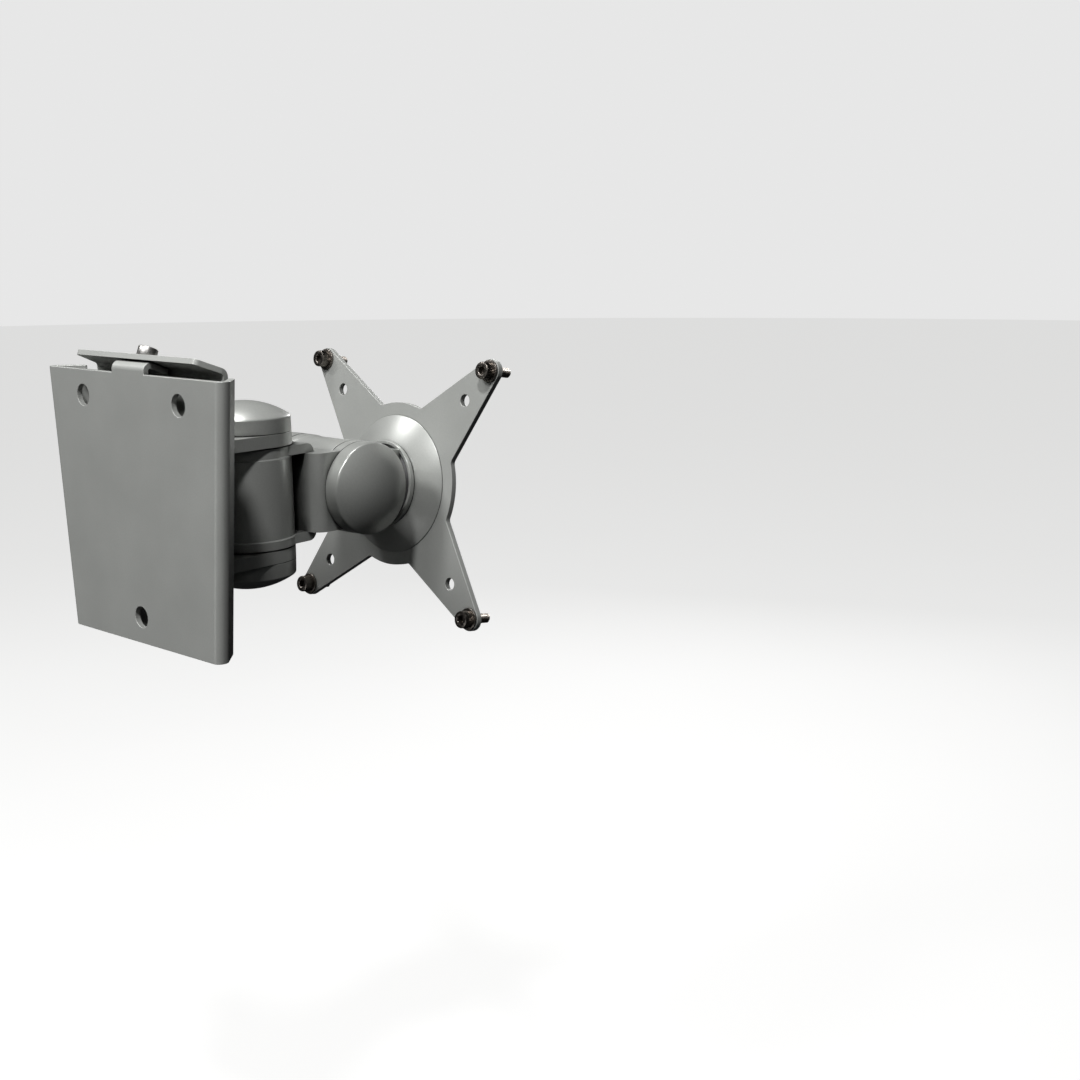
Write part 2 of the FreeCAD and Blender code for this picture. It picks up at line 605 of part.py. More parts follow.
def cap_outline(seat, skirt):
    """A domed cap that stands on a seat height, with a spigot ring below its skirt."""
    rim = "(barrel_r - cap_draft)"
    top = f"({seat} + {skirt})"
    hollow = "(cap_rise - cap_wall / 2)"
    return [
        ("0", f"{top} + cap_rise", f"({rim} ^ 2 + cap_rise ^ 2) / (2 * cap_rise)", "right"),
        (rim, top),
        ("barrel_r", seat),
        ("spigot_ring_r", seat),
        ("spigot_ring_r", f"{seat} - cap_spigot"),
        ("cap_inner_r", f"{seat} - cap_spigot"),
        ("cap_inner_r", f"{top} - cap_wall / 2",
         f"(cap_inner_r ^ 2 + {hollow} ^ 2) / (2 * {hollow})", "left"),
        ("0", f"{top} + cap_rise - cap_wall"),
    ]


def ring(inner, outer, low, high):
    """The outline of a plain ring, for turned()."""
    return [(inner, low), (outer, low), (outer, high), (inner, high)]


def disc_springs(bore, rim, low):
    """The outlines of two nested disc springs that stand on a height."""
    springs = []
    for k in (0, 1):
        foot = f"({low} + {k} * (spring_thick + press_fit))"
        springs.append([
            (bore, f"{foot} + spring_rise"), (rim, foot),
            (rim, f"{foot} + spring_thick"), (bore, f"{foot} + spring_rise + spring_thick")])
    return springs


def make_bolt(name, frame, radius, low, under_head, head, across):
    """Hexagon bolt along the frame's Z axis, its tip at low."""
    body = new_body(name, frame)
    shank = draw(body, name + "_shank", "XY_Plane", circles=[("0", "0", radius)], height=low)
    extrude(body, "Pad", shank, f"{under_head} - ({low})")
    top = draw(body, name + "_head", "XY_Plane", [hexagon(across)], height=under_head)
    extrude(body, "Pad", top, head)


def make_nut(name, frame, radius, low, high, across):
    """Hexagon nut between two heights of its frame."""
    body = new_body(name, frame)
    sketch = draw(body, name + "_plan", "XY_Plane", [hexagon(across)], height=low,
                  circles=[("0", "0", f"{radius} + press_fit")])
    extrude(body, "Pad", sketch, f"{high} - ({low})")


def flanged_bush(radius, bore, face):
    """The outline of a bush pressed in below a face, with its flange on the face."""
    inside = f"{radius} + run_fit"
    outside = f"{bore} - press_fit"
    return [
        (inside, f"{face} - bush_long"), (outside, f"{face} - bush_long"), (outside, face),
        ("bush_flange_r", face), ("bush_flange_r", f"{face} + bush_flange"),
        (inside, f"{face} + bush_flange")]


def make_stack(name, frames, radius, bore, seat, out, ring_face, skirt, across, head, nut,
               washer_r):
    """Bolt, nut, washers, disc springs, bushes and caps of one friction joint."""
    ahead, behind = frames
    bore_hole = f"{radius} + screw_room"
    on_washer = f"({seat} + washer_thick)"
    make_bolt(name + "_bolt", ahead, radius, f"-({on_washer} + {nut} + bolt_tip)",
              f"({on_washer} + {SPRINGS})", head, across)
    make_nut(name + "_nut", behind, radius, on_washer, f"{on_washer} + {nut}", across)
    turned(name + "_washers", ahead,
           ring(bore_hole, washer_r, seat, on_washer),
           ring(bore_hole, washer_r, f"-{on_washer}", f"-{seat}"))
    turned(name + "_springs", ahead,
           *disc_springs(bore_hole, f"{washer_r} - spring_edge", on_washer))
    for side, frame in zip(STACK_SIDES[name], frames):
        turned(f"{name}_bush_{side}", frame, flanged_bush(radius, bore, ring_face))
        turned(f"{name}_cap_{side}", frame, cap_outline(out, skirt))


STACK_SIDES = {"swivel": ("top", "bottom"), "tilt": ("right", "left")}


# ---------------------------------------------------------------- link

def make_link():
    """Casting with the swivel sleeve and its rings, two webs, a block and the tilt ears."""
    body = new_body("link_casting", "swivel")
    profile = [
        ("swivel_bore_r", f"-{RING_OUT}"),
        ("ring_low_r", f"-{RING_OUT}"),
        ("ring_low_r", "-sleeve_half - ring_step"),
        ("sleeve_low_r", "-sleeve_half"),
        ("sleeve_top_r", "sleeve_half - ring_step"),
        ("ring_top_r", "sleeve_half"),
        ("ring_top_r", RING_OUT),
        ("swivel_bore_r", RING_OUT),
    ]
    turn(body, "Revolution", draw(body, "sleeve_profile", "XZ_Plane", [profile]))

    web = [("-web_root", "0"), ("web_root", "0"), ("web_half", "web_end"),
           ("-web_half", "web_end")]
    for side, height in (("top", "sleeve_half"), ("low", f"-{RING_OUT}")):
        plan = draw(body, side + "_web", "XY_Plane", [web], height=height)
        extrude(body, "Pad", plan, "ring_thick")
    block = [
        ("-(tilt_gap_at + tilt_ear) + block_corner", "block_back"),
        ("tilt_gap_at + tilt_ear - block_corner", "block_back", "block_corner", "left"),
        (TILT_OUT, "block_back + block_corner"),
        (TILT_OUT, "tilt_reach"),
        (f"-{TILT_OUT}", "tilt_reach"),
        (f"-{TILT_OUT}", "block_back + block_corner", "block_corner", "left"),
    ]
    extrude(body, "Pad", draw(body, "block", "XY_Plane", [block]), "2 * sleeve_half", both=True)
    ears = draw(body, "tilt_ears", "YZ_Plane", circles=[("tilt_reach", "0", "barrel_r")])
    extrude(body, "Pad", ears, f"2 * {TILT_OUT}", both=True)

    rounds = [[("web_end - ring_thick", f"{sign}{RING_OUT}", "ring_thick", bend),
               ("web_end", f"{sign}sleeve_half"),
               ("web_end + ring_thick", f"{sign}sleeve_half"),
               ("web_end + ring_thick", f"{sign}(sleeve_half + 2 * ring_thick)"),
               ("web_end - ring_thick", f"{sign}(sleeve_half + 2 * ring_thick)")]
              for sign, bend in (("", "right"), ("-", "left"))]
    extrude(body, "Pocket", draw(body, "web_rounds", "YZ_Plane", rounds), "cut_through",
            both=True)
    bore = draw(body, "sleeve_bore", "XY_Plane", circles=[("0", "0", "swivel_bore_r")])
    extrude(body, "Pocket", bore, "cut_through", both=True)
    pocket = draw(body, "sleeve_pocket", "YZ_Plane", circles=[("tilt_reach", "0", "pocket_r")])
    extrude(body, "Pocket", pocket, "2 * tilt_gap_at", both=True)
    for side, height, reverse in (("right", TILT_OUT, False), ("left", f"-{TILT_OUT}", True)):
        seat = draw(body, side + "_ear_seat", "YZ_Plane", height=height,
                    circles=[("tilt_reach", "0", "spigot_ring_r + press_fit")])
        extrude(body, "Pocket", seat, "ear_seat", reverse=reverse)
    hole = draw(body, "tilt_bolt_hole", "YZ_Plane",
                circles=[("tilt_reach", "0", "tilt_bolt_r + press_fit")])
    extrude(body, "Pocket", hole, "cut_through", both=True)


# ---------------------------------------------------------------- head and hub

def make_head():
    """Casting with the tilt sleeve, a block, the neck ring and the hub's spigot."""
    body = new_body("head_casting", "hub")
    body_r = "(barrel_r - head_step)"
    profile = [
        (f"-{HEAD_RING_OUT}", "tilt_bore_r"),
        (HEAD_RING_OUT, "tilt_bore_r"),
        (HEAD_RING_OUT, "barrel_r"),
        ("head_ring_at", "barrel_r"),
        ("head_ring_at - head_step", body_r),
        ("-head_ring_at + head_step", body_r),
        ("-head_ring_at", "barrel_r"),
        (f"-{HEAD_RING_OUT}", "barrel_r"),
    ]
    turn(body, "Revolution", draw(body, "tilt_sleeve", "XY_Plane", [profile]), "H_Axis")
    block = [("-head_half", "-head_high"), ("head_half", "-head_high"),
             ("head_half", "head_high"), ("-head_half", "head_high")]
    extrude(body, "Pad", draw(body, "head_block", "XY_Plane", [block]), "neck_front")
    neck = draw(body, "neck", "XY_Plane", circles=[("0", "0", "neck_r")],
                height="neck_back + neck_recess")
    extrude(body, "Pad", neck, "neck_front - neck_back - neck_recess")
    rim = draw(body, "neck_rim", "XY_Plane", height="neck_back",
               circles=[("0", "0", "neck_r"), ("0", "0", "neck_rim_r")])
    extrude(body, "Pad", rim, "neck_front - neck_back")
    spigot = draw(body, "spigot", "XY_Plane", circles=[("0", "0", "spigot_r")],
                  height="neck_front")
    extrude(body, "Pad", spigot, "spigot_end - neck_front")
    bore = draw(body, "tilt_bore", "YZ_Plane", circles=[("0", "0", "tilt_bore_r")])
    extrude(body, "Pocket", bore, "cut_through", both=True)
    tapped = draw(body, "turn_tapped", "XY_Plane", height="spigot_end",
                  circles=[("0", "0", "turn_screw_r + press_fit")])
    extrude(body, "Pocket", tapped, "spigot_end - turn_screw_deep")


def make_rotation_parts():
    """Screw, washer, disc springs and bush that hold the hub on the head's spigot."""
    floor = "(cone_floor + run_fit)"
    bore = "turn_screw_r + screw_room"
    tip = "(turn_screw_deep + turn_tip_room)"
    washer_at = f"({floor} + spring_rise + spring_thick)"
    head_at = f"({washer_at} + washer_thick / 2)"
    screw = new_body("rotation_screw", "hub")
    shank = draw(screw, "turn_shank", "XY_Plane", circles=[("0", "0", "turn_screw_r")],
                 height=tip)
    extrude(screw, "Pad", shank, f"{head_at} - {tip}")
    head = draw(screw, "turn_head", "XY_Plane", circles=[("0", "0", "turn_head_r")],
                height=head_at)
    extrude(screw, "Pad", head, "turn_head_high")
    socket = draw(screw, "turn_socket", "XY_Plane", [hexagon("turn_across")],
                  height=f"{head_at} + turn_head_high")
    extrude(screw, "Pocket", socket, "socket_deep")
    turned("rotation_washer", "hub", ring(bore, "turn_washer_r", washer_at, head_at))
    turned("rotation_spring", "hub",
           disc_springs(bore, "turn_washer_r - spring_edge", floor)[0])
    turned("rotation_bush", "hub", [
        ("spigot_r + run_fit", "neck_front + run_fit"),
        ("turn_flange_r", "neck_front + run_fit"),
        ("turn_flange_r", "cone_front"),
        ("turn_bush_r - press_fit", "cone_front"),
        ("turn_bush_r - press_fit", "cone_floor - run_fit"),
        ("spigot_r + run_fit", "cone_floor - run_fit")])


def make_hub_cone():
    """Flared hub that carries the plate and turns on the spigot."""
    body = new_body("hub_cone", "hub")
    profile = [
        ("turn_bush_r", "cone_front"),
        ("neck_r", "cone_front"),
        ("cone_r", "plate_front - head_step"),
        ("cone_r", "plate_front"),
        ("cone_boss_r", "plate_front"),
        ("cone_boss_r", f"{PLATE_BACK} - head_step"),
        ("cone_recess_r", f"{PLATE_BACK} - head_step"),
        ("cone_recess_r", "cone_floor"),
        ("turn_bush_r", "cone_floor"),
    ]
    turn(body, "Revolution", draw(body, "cone_profile", "XZ_Plane", [profile]))
    hole = draw(body, "cone_screw_hole", "XY_Plane", height="plate_front",
                circles=[("hub_screw_at", "0", "hub_screw_r + press_fit")])
    repeat(body, [extrude(body, "Pocket", hole, "hub_screw_deep + screw_room")])


def make_vesa_plate():
    """Round plate with four tapering arms, drilled for both hole patterns."""
    body = new_body("vesa_plate", "hub")
    disc = draw(body, "plate_disc", "XY_Plane", height="plate_front",
                circles=[("0", "0", "plate_disc_r")])
    extrude(body, "Pad", disc, "plate_thick")
    # The arm lies along X here, and its frame turns it to the diagonal.
    tip_at = "vesa_large / sqrt(2)"
    touch_x, touch_y = "arm_tip_r * sin(arm_taper)", "arm_tip_r * cos(arm_taper)"
    root = "plate_disc_r / 2"
    spread = f"({touch_y} + ({tip_at} + {touch_x} - {root}) * tan(arm_taper))"
    arm = [(root, f"-{spread}"), (f"{tip_at} + {touch_x}", f"-({touch_y})", "arm_tip_r", "left"),
           (f"{tip_at} + {touch_x}", touch_y), (root, spread)]
    sketch = draw(body, "plate_arm", "XY_Plane", [arm], height="plate_front")
    diagonal = FreeCAD.Rotation(Vector(0, 0, 1), DIAGONAL)
    sketch.AttachmentOffset = FreeCAD.Placement(Vector(0, 0, value("plate_front")), diagonal)
    arms = repeat(body, [extrude(body, "Pad", sketch, "plate_thick")])
    disc_r = value("plate_disc_r")

    def notch(edge, middle):
        upright = abs(edge.tangentAt(edge.FirstParameter).z) > ALONG
        return upright and abs(math.hypot(middle.x, middle.y) - disc_r) < NEAR

    rounded = round_edges(body, arms, "notch_r", notch)
    body.Tip = rounded
    small, large = "vesa_small / 2", "vesa_large / 2"
    holes = [(f"{x} * {small}", f"{y} * {small}", "vesa_hole_r")
             for x in (-1, 1) for y in (-1, 1)]
    holes += [(f"{x} * {large}", f"{y} * {large}", "vesa_bolt_r + screw_room")
              for x in (-1, 1) for y in (-1, 1)]
    holes += [("0", "0", "cone_boss_r + press_fit")]
    drilled = draw(body, "plate_holes", "XY_Plane", circles=holes, height=PLATE_BACK)
    extrude(body, "Pocket", drilled, "2 * plate_thick")
    ends = [("hub_screw_at", "0"), ("-hub_screw_at", "0"),
            ("0", "hub_screw_at"), ("0", "-hub_screw_at")]
    for name, radius, depth in (("hub_holes", "hub_screw_r + screw_room", "2 * plate_thick"),
                                ("hub_seats", "hub_head_r + screw_room", "hub_head")):
        sketch = draw(body, name, "XY_Plane", height=PLATE_BACK,
                      circles=[end + (radius,) for end in ends])
        extrude(body, "Pocket", sketch, depth)


def make_hub_screws():
    """Four low screws from the plate's back into the cone."""
    body = new_body("hub_screws", "hub")
    at = ("hub_screw_at", "0")
    seat = f"({PLATE_BACK} - hub_head)"
    shank = draw(body, "hub_shank", "XY_Plane", circles=[at + ("hub_screw_r",)],
                 height="plate_front - hub_screw_deep")
    head = draw(body, "hub_head_disc", "XY_Plane", circles=[at + ("hub_head_r",)], height=seat)
    slot = draw(body, "hub_slot", "XY_Plane", circles=[at + ("hub_socket_r",)],
                height=f"{PLATE_BACK} - press_fit")
    repeat(body, [
        extrude(body, "Pad", shank, f"{seat} - plate_front + hub_screw_deep"),
        extrude(body, "Pad", head, "hub_head - press_fit"),
        extrude(body, "Pocket", slot, "hub_head / 2")])


def make_vesa_screws():
    """Four socket screws with washers at the corners of the larger pattern."""
    body = new_body("vesa_screws", "hub")
    at = ("vesa_large / 2", "vesa_large / 2")
    seat = "(plate_front - vesa_washer)"
    thread_at = f"({PLATE_BACK} + vesa_neck)"
    neck = draw(body, "vesa_neck_disc", "XY_Plane", circles=[at + ("vesa_neck_r",)], height=seat)
    shank = draw(body, "vesa_shank", "XY_Plane", circles=[at + ("vesa_bolt_r",)],
                 height=thread_at)
    head = draw(body, "vesa_head_disc", "XY_Plane", circles=[at + ("vesa_head_r",)],
                height=f"{seat} - vesa_head")
    corners = [(f"{at[0]} + {x}", f"{at[1]} + {y}") for x, y in hexagon("socket_across")]
    socket = draw(body, "vesa_socket", "XY_Plane", [corners], height=f"{seat} - vesa_head")
    repeat(body, [
        extrude(body, "Pad", neck, f"{thread_at} - {seat}"),
        extrude(body, "Pad", shank, "vesa_reach - vesa_neck"),
        extrude(body, "Pad", head, "vesa_head"),
        extrude(body, "Pocket", socket, "socket_deep", reverse=True)])
    washers = new_body("vesa_washers", "hub")
    plan = draw(washers, "washer_plan", "XY_Plane", height=seat,
                circles=[at + ("vesa_washer_r",), at + ("vesa_bolt_r + screw_room",)])
    repeat(washers, [extrude(washers, "Pad", plan, "vesa_washer")])


# ---------------------------------------------------------------- build and export

def check_and_export():
    """Refuse any failed object, then write one STEP file for each sub-part."""
    document.recompute()
    for item in document.Objects:
        if "Invalid" in item.State or "Error" in item.State:
            raise SystemExit(f"{item.Label} failed: {item.State}")
    os.makedirs("parts", exist_ok=True)
    for part in SUBPARTS:
        if part.Shape.isNull() or not part.Shape.isValid():
            raise SystemExit(f"{part.Label} has no valid shape")
        part.Shape.exportStep(f"parts/{part.Label}.step")
        print(f"{part.Label:20s} solids {len(part.Shape.Solids)} volume {part.Shape.Volume:9.1f}")


make_wall_receiver()
make_slide_plate()
make_lock_screw()
make_base_yoke()
make_yoke_screws()
make_stack("swivel", ("swivel", "swivel_under"), "swivel_bolt_r", "swivel_bore_r", SWIVEL_SEAT,
           EAR_OUT, RING_OUT, "cap_skirt", "swivel_across", "swivel_head", "swivel_nut_high",
           "swivel_washer_r")
make_link()
make_stack("tilt", ("tilt", "tilt_left"), "tilt_bolt_r", "tilt_bore_r", TILT_SEAT, TILT_OUT,
           HEAD_RING_OUT, "tilt_skirt", "tilt_across", "tilt_head", "tilt_nut_high",
           "tilt_washer_r")
make_head()
make_rotation_parts()
make_hub_cone()
make_vesa_plate()
make_hub_screws()
make_vesa_screws()
check_and_export()
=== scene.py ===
"""Looks of a short wall-mounted monitor arm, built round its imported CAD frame. All in metres."""
import json
import math

import bmesh
import bpy
from mathutils import Matrix, Vector


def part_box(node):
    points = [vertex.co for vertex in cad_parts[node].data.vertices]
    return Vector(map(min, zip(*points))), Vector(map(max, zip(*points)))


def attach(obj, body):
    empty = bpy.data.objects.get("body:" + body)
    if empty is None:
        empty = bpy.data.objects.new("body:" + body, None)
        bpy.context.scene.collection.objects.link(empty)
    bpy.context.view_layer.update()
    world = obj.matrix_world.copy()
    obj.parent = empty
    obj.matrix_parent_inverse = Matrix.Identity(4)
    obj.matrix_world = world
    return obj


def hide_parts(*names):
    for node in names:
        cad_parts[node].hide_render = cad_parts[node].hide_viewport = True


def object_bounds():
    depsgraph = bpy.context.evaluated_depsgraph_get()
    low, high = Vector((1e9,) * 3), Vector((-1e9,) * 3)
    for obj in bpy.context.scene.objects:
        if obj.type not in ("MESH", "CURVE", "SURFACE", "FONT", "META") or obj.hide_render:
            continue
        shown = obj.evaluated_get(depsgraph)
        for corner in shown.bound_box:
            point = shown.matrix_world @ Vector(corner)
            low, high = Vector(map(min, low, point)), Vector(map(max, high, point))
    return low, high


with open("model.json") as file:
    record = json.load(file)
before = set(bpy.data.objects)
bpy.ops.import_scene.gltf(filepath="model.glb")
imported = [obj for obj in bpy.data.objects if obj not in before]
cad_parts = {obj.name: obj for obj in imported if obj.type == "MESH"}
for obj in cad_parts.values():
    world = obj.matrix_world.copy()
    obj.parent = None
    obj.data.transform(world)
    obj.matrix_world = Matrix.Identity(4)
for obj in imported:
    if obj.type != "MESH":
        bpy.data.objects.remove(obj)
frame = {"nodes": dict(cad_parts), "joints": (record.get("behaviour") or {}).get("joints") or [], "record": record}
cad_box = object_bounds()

MM = 0.001
RECORD = frame["record"]
NODES = frame["nodes"]
BODY_OF = {node: body for body, nodes in RECORD["behaviour"]["bodies"].items() for node in nodes}
SLOT_OF = {item["node"]: item["material_slot"] for item in RECORD["subparts"]}
JOINTS = {joint["name"]: joint for joint in frame["joints"]}
MOUNTS = {mount["name"]: mount for mount in RECORD["mounts"]}

RIGHT = Vector((1, 0, 0))
AWAY = Vector((0, 1, 0))
UP = Vector((0, 0, 1))
SWIVEL = Vector(JOINTS["swivel"]["pos_m"])
TILT = Vector(JOINTS["tilt"]["pos_m"])
LOCK = Vector(JOINTS["lock_turn"]["pos_m"])
LOCK_AXIS = Vector(JOINTS["lock_turn"]["axis"])
HUB_AXIS = Vector(JOINTS["rotate"]["axis"])
HUB_UP = RIGHT.cross(HUB_AXIS)
MOUNT_BACK = (Vector(MOUNTS["vesa_face"]["pos_m"]) - TILT).dot(HUB_AXIS)
PATTERN_R = MOUNTS["vesa_100_screws"]["dims"]["pcd_mm"] * MM / 2

STEPS = 144        # sides of a turned piece, a multiple of a hexagon's and of the knurl's


# ---------------------------------------------------------------- mesh tools

def reach(node, origin, axis):
    """How far a CAD node lies from the origin along an axis: its nearest and farthest point."""
    distances = [(vertex.co - origin).dot(axis) for vertex in NODES[node].data.vertices]
    return min(distances), max(distances)


def place(origin, axis, side=RIGHT):
    """The matrix whose Z axis is the given axis, and whose X axis is near the given side."""
    across = (side - side.dot(axis) * axis).normalized()
    turned = Matrix((across, axis.cross(across), axis)).transposed().to_4x4()
    return Matrix.Translation(origin) @ turned


def round_ring(radius, angle, height):
    """A plain circle."""
    return radius


def hexagon_ring(radius, angle, height):
    """A hexagon whose flats are that far from the axis."""
    sector = math.radians(60)
    return radius / math.cos((angle + sector / 2) % sector - sector / 2)


KNURLS = 36
KNURL_DEEP = 0.22 * MM


def knurl_ring(radius, angle, height):
    """A circle with upright V grooves."""
    return radius - KNURL_DEEP * abs(2 * (angle * KNURLS / math.tau % 1) - 1)


THREAD_PITCH = 0.7 * MM
THREAD_DEEP = 0.38 * MM


def thread_ring(radius, angle, height):
    """A slice through a thread."""
    phase = (height / THREAD_PITCH - angle / math.tau) % 1
    return radius - THREAD_DEEP * abs(2 * phase - 1)


def turn_profile(bm, where, profile, closed=False, steps=STEPS):
    """Skin a shell round an axis. A ring of the profile is (radius, height, shape)."""
    rings = []
    for radius, height, *shape in profile:
        outline = shape[0] if shape else round_ring
        count = steps if radius > 0 else 1
        ring = []
        for step in range(count):
            angle = math.tau * step / count
            out = outline(radius, angle, height) if radius > 0 else 0
            point = Vector((out * math.cos(angle), out * math.sin(angle), height))
            ring.append(bm.verts.new(where @ point))
        rings.append(ring)
    ahead = rings[1:] + rings[:1] if closed else rings[1:]
    for first, second in zip(rings, ahead):
        for step in range(steps):
            corners = [first[step % len(first)], first[(step + 1) % len(first)],
                       second[(step + 1) % len(second)], second[step % len(second)]]
            bm.faces.new(list(dict.fromkeys(corners)))


def dome(radius, rise, top, count):
    """The rings of a dome from its apex at top down to its rim."""
    sphere = (radius ** 2 + rise ** 2) / (2 * rise)
    widest = math.asin(radius / sphere)
    rings = []
    for k in range(count + 1):
        angle = widest * k / count
        rings.append((sphere * math.sin(angle), top - sphere * (1 - math.cos(angle))))
    return rings


def add_piece(name, bm, node, material):
    """A mesh object from bm that stands for a CAD node, on its body and with its finish."""
    bmesh.ops.recalc_face_normals(bm, faces=bm.faces)
    mesh = bpy.data.meshes.new(name)
    bm.to_mesh(mesh)
    bm.free()
    for face in mesh.polygons:
        face.use_smooth = True
    mesh.materials.append(material)
    piece = bpy.data.objects.new(name, mesh)
    bpy.context.scene.collection.objects.link(piece)
    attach(piece, BODY_OF[node])
    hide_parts(node)
    return piece


SHARP = math.radians(32)
FLAT_WEIGHT = 50


def soften(piece, width, segments=3):
    """Round the piece's sharp edges, and keep its flat faces looking flat."""
    bevel = piece.modifiers.new("edges", "BEVEL")
    bevel.width = width
    bevel.segments = segments
    bevel.limit_method = "ANGLE"
    bevel.angle_limit = SHARP
    level = piece.modifiers.new("flats", "WEIGHTED_NORMAL")
    level.mode = "FACE_AREA"
    level.weight = FLAT_WEIGHT
    return piece


def crisp(piece):
    """Keep every edge sharper than the limit as a sharp edge."""
    piece.data.set_sharp_from_angle(angle=SHARP)
    return piece


WELD = 2e-6
FLAT = math.radians(0.3)


def refined(node, material, width):
    """The CAD node's shape as one welded mesh with rounded edges."""
    bm = bmesh.new()
    bm.from_mesh(NODES[node].data)
    bmesh.ops.remove_doubles(bm, verts=bm.verts, dist=WELD)
    bmesh.ops.dissolve_limit(bm, angle_limit=FLAT, verts=bm.verts, edges=bm.edges)
    return soften(add_piece(node + "_fine", bm, node, material), width)


# ---------------------------------------------------------------- turned pieces

CAP_SPIGOT = 1.0 * MM
CAP_SPIGOT_R = 16.8 * MM
CAP_INNER_R = 15.6 * MM
CAP_RISE = 5.8 * MM
CAP_WALL = 1.8 * MM
CAP_DRAFT = 0.15 * MM
CAP_EDGE = 0.55 * MM
CAP_EDGE_STEPS = 4
DOME_RINGS = 24


def make_cap(node, joint_at, axis, material):
    """A moulded cap over one end of a joint: spigot, skirt and dome."""
    foot, apex = reach(node, joint_at, axis)
    low, high = (Vector(corner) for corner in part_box(node))
    radius = max(high - low) / 2
    seat = foot + CAP_SPIGOT
    outside = dome(radius - CAP_DRAFT, CAP_RISE, apex, DOME_RINGS)
    inside = dome(CAP_INNER_R, CAP_RISE - CAP_WALL / 2, apex - CAP_WALL, DOME_RINGS)
    profile = outside + [(radius, seat), (CAP_SPIGOT_R, seat), (CAP_SPIGOT_R, foot),
                         (CAP_INNER_R, foot)] + inside[::-1]
    bm = bmesh.new()
    turn_profile(bm, place(joint_at, axis, AWAY), profile)
    return soften(add_piece(node + "_fine", bm, node, material), CAP_EDGE, CAP_EDGE_STEPS)


NECK_R = 17.9 * MM
CONE_RIM = 0.4 * MM
CONE_BORE_R = 9.5 * MM
CONE_RECESS_R = 12.0 * MM
CONE_RECESS_DEEP = 4.8 * MM
CONE_BOSS_R = 16.0 * MM
CONE_EDGE = 0.3 * MM
PLATE_THICK = 2.5 * MM


def make_hub_cone(material):
    """The flared hub between the head and the plate."""
    front, back = reach("hub_cone", TILT, HUB_AXIS)
    low, high = (Vector(corner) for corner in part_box("hub_cone"))
    rim_r = (high - low).x / 2
    plate = MOUNT_BACK - PLATE_THICK
    profile = [(CONE_BORE_R, front), (NECK_R, front), (rim_r, plate - CONE_RIM), (rim_r, plate),
               (CONE_BOSS_R, plate), (CONE_BOSS_R, back), (CONE_RECESS_R, back),
               (CONE_RECESS_R, back - CONE_RECESS_DEEP), (CONE_BORE_R, back - CONE_RECESS_DEEP)]
    bm = bmesh.new()
    turn_profile(bm, place(TILT, HUB_AXIS), profile, closed=True)
    return soften(add_piece("hub_cone_fine", bm, "hub_cone", material), CONE_EDGE)


WASHER_R = 4.5 * MM
WASHER_BORE_R = 2.25 * MM
WASHER_EDGE = 0.15 * MM
WASHER_EDGE_STEPS = 2


def make_vesa_washer(number, side, material):
    """One flat washer under a monitor screw's head."""
    low, high = reach("vesa_washers", TILT, HUB_AXIS)
    profile = [(WASHER_BORE_R, low), (WASHER_R, low), (WASHER_R, high), (WASHER_BORE_R, high)]
    bm = bmesh.new()
    turn_profile(bm, place(TILT + PATTERN_R * side, HUB_AXIS), profile, closed=True)
    washer = add_piece(f"vesa_washer_{number}", bm, "vesa_washers", material)
    return soften(washer, WASHER_EDGE, WASHER_EDGE_STEPS)


# Size and place of the black disc that is painted shade in the neck's recess.
NECK_RECESS_BACK = 1.5 * MM      # from the cone's front face to the floor's outer face
NECK_RECESS_DEEP = 0.3 * MM
NECK_RECESS_R = 16.5 * MM
NECK_RECESS_BORE_R = 8.0 * MM


def make_neck_painted_shade(material):
    """A black disc on the floor of the recess inside the neck's rim: painted shade for the dark recess."""
    low = reach("hub_cone", TILT, HUB_AXIS)[0] - NECK_RECESS_BACK
    high = low + NECK_RECESS_DEEP
    profile = [(NECK_RECESS_BORE_R, low), (NECK_RECESS_R, low), (NECK_RECESS_R, high),
               (NECK_RECESS_BORE_R, high)]
    bm = bmesh.new()
    turn_profile(bm, place(TILT, HUB_AXIS), profile, closed=True)
    ring = add_piece("neck_painted_shade_disc", bm, "head_casting", material)
    return ring


# ---------------------------------------------------------------- screws

SOCKET_MOUTH = 0.25 * MM
HEAD_EDGE = 0.35 * MM
TIP_CHAMFER = 0.5 * MM
THREAD_SLICES = 6       # rings in one turn of a thread


def socket_screw(bm, where, head, shank, across, socket, knurled=False, plain_long=0, plain_r=0):
    """A hexagon socket screw: its head stands up from where's origin, and its shank goes down.

    head and shank are each a radius and a length, and socket is the hexagon's depth."""
    (head_r, head_high), (shank_r, shank_long) = head, shank
    floor = head_high - socket
    side = knurl_ring if knurled else round_ring
    profile = [
        (0, floor - SOCKET_MOUTH),
        (across / 2, floor, hexagon_ring),
        (across / 2, head_high - SOCKET_MOUTH, hexagon_ring),
        (across / math.sqrt(3) + SOCKET_MOUTH, head_high),
        (head_r - HEAD_EDGE, head_high),
        (head_r - HEAD_EDGE / 3, head_high - HEAD_EDGE / 3),
        (head_r, head_high - HEAD_EDGE, side),
        (head_r, HEAD_EDGE, side),
        (head_r - HEAD_EDGE / 2, 0),
        (plain_r or shank_r, 0),
        (plain_r or shank_r, -plain_long),
    ]
    thread_from, thread_to = -plain_long, TIP_CHAMFER - shank_long
    turns = max(1, round((thread_from - thread_to) / THREAD_PITCH * THREAD_SLICES))
    for k in range(turns + 1):
        profile.append((shank_r, thread_from + (thread_to - thread_from) * k / turns, thread_ring))
    profile += [(shank_r - TIP_CHAMFER - THREAD_DEEP / 2, -shank_long), (0, -shank_long)]
    turn_profile(bm, where, profile)


VESA_HEAD_R = 3.5 * MM
VESA_HEAD_HIGH = 4.0 * MM
VESA_SHANK_R = 2.0 * MM
VESA_NECK_R = 1.5 * MM
VESA_ACROSS = 3.0 * MM
VESA_SOCKET = 2.0 * MM


